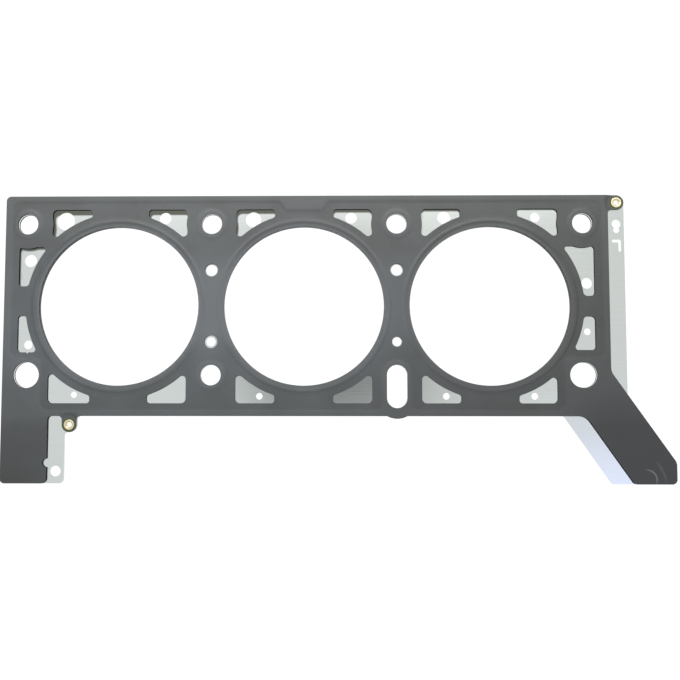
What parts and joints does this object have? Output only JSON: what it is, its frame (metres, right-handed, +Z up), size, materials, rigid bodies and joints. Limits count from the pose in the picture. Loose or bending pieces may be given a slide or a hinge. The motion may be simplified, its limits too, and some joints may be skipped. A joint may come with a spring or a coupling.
{
  "type": "cylinder head gasket",
  "caption": "Flat cylinder head gasket for one bank of a V engine: embossed coated steel sheets on either side of a bright spacer, held together by brass eyelets.",
  "frame": {"origin": "centre of the middle bore, at the height of the lowest bead crest, on which the gasket lies", "axes": "+X along the row of bores, towards the slanted leg; +Y towards the side without legs; +Z up, from the block to the cylinder head"},
  "size_m": [0.4106, 0.1774, 0.0031],
  "materials": {
    "coated_steel": "satin elastomer coat",
    "bright_steel": "cold-rolled, matt",
    "eyelet_brass": "satin"
  },
  "bodies": {
    "root": {"top_sheet": "coated_steel", "spacer": "bright_steel", "bottom_sheet": "coated_steel", "eyelet_right": "eyelet_brass", "eyelet_left": "eyelet_brass"}
  },
  "joints": []
}
